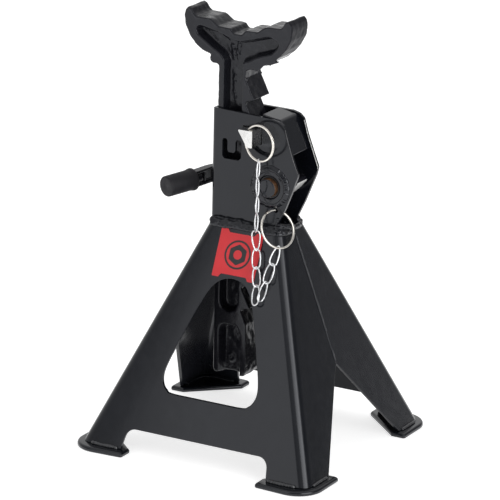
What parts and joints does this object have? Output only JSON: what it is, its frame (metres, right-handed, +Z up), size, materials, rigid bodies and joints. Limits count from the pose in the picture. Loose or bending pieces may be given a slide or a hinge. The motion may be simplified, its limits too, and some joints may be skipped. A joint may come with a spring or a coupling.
{
  "type": "ratcheting axle jack stand",
  "caption": "Ratcheting axle stand: folded plate base with open window, toothed bar with cradle saddle, lever pawl and chained safety pin.",
  "frame": {"origin": "on the floor at the centre of the four foot plates", "axes": "+Z up, labelled face to -Y, toothed side of the bar and the pawl to +X, handle to -X"},
  "size_m": [0.345, 0.3328, 0.5498],
  "materials": {
    "black_paint": "satin black paint over pressed steel plate",
    "painted_weld": "satin black paint over lumpy weld bead",
    "black_casting": "satin black paint over a rough casting",
    "bright_zinc": "bright zinc plate",
    "bare_bush": "bare metal with a rust-brown film",
    "black_rubber": "matte moulded rubber",
    "red_label": "satin red label"
  },
  "bodies": {
    "frame": {"front_frame_plate": "black_paint", "rear_frame_plate": "black_paint", "foot_pad_front_left": "black_paint", "foot_pad_front_right": "black_paint", "foot_pad_rear_left": "black_paint", "foot_pad_rear_right": "black_paint", "column_channel": "black_paint", "column_weld_front": "painted_weld", "column_weld_rear": "painted_weld", "cover_plate": "black_paint", "pin_guide_front": "black_paint", "pin_guide_rear": "black_paint", "pivot_boss_front": "painted_weld", "pivot_boss_rear": "painted_weld", "shaft_bush_front": "bare_bush", "shaft_bush_rear": "bare_bush", "anchor_ring": "bright_zinc", "chain_link_01": "bright_zinc", "chain_link_02": "bright_zinc", "chain_link_03": "bright_zinc", "chain_link_04": "bright_zinc", "chain_link_05": "bright_zinc", "chain_link_06": "bright_zinc", "chain_link_07": "bright_zinc", "chain_link_08": "bright_zinc", "chain_link_09": "bright_zinc", "chain_link_10": "bright_zinc", "chain_link_11": "bright_zinc", "front_label": "red_label"},
    "ratchet_bar": {"ratchet_bar": "black_casting"},
    "pawl": {"pawl": "black_casting", "pawl_shaft": "black_casting", "handle_lever": "black_casting", "handle_roll_pin": "bright_zinc", "handle_grip": "black_rubber"},
    "safety_pin": {"safety_pin": "bright_zinc", "pin_ring": "bright_zinc"}
  },
  "joints": [
    {"name": "bar_lift", "type": "slide", "parent": "frame", "child": "ratchet_bar", "axis": [0, 0, 1], "range_m": [-0.035, 0.21]},
    {"name": "pawl_swing", "type": "hinge", "parent": "frame", "child": "pawl", "pos_m": [0.0314, 0, 0.3387], "axis": [0, 1, 0], "range_deg": [-14.5, 12]},
    {"name": "pin_pull", "type": "slide", "parent": "frame", "child": "safety_pin", "axis": [0, -1, 0], "range_m": [0, 0.075], "deforming": ["chain_link_01", "chain_link_02", "chain_link_03", "chain_link_04", "chain_link_05", "chain_link_06", "chain_link_07", "chain_link_08", "chain_link_09", "chain_link_10", "chain_link_11"]}
  ]
}
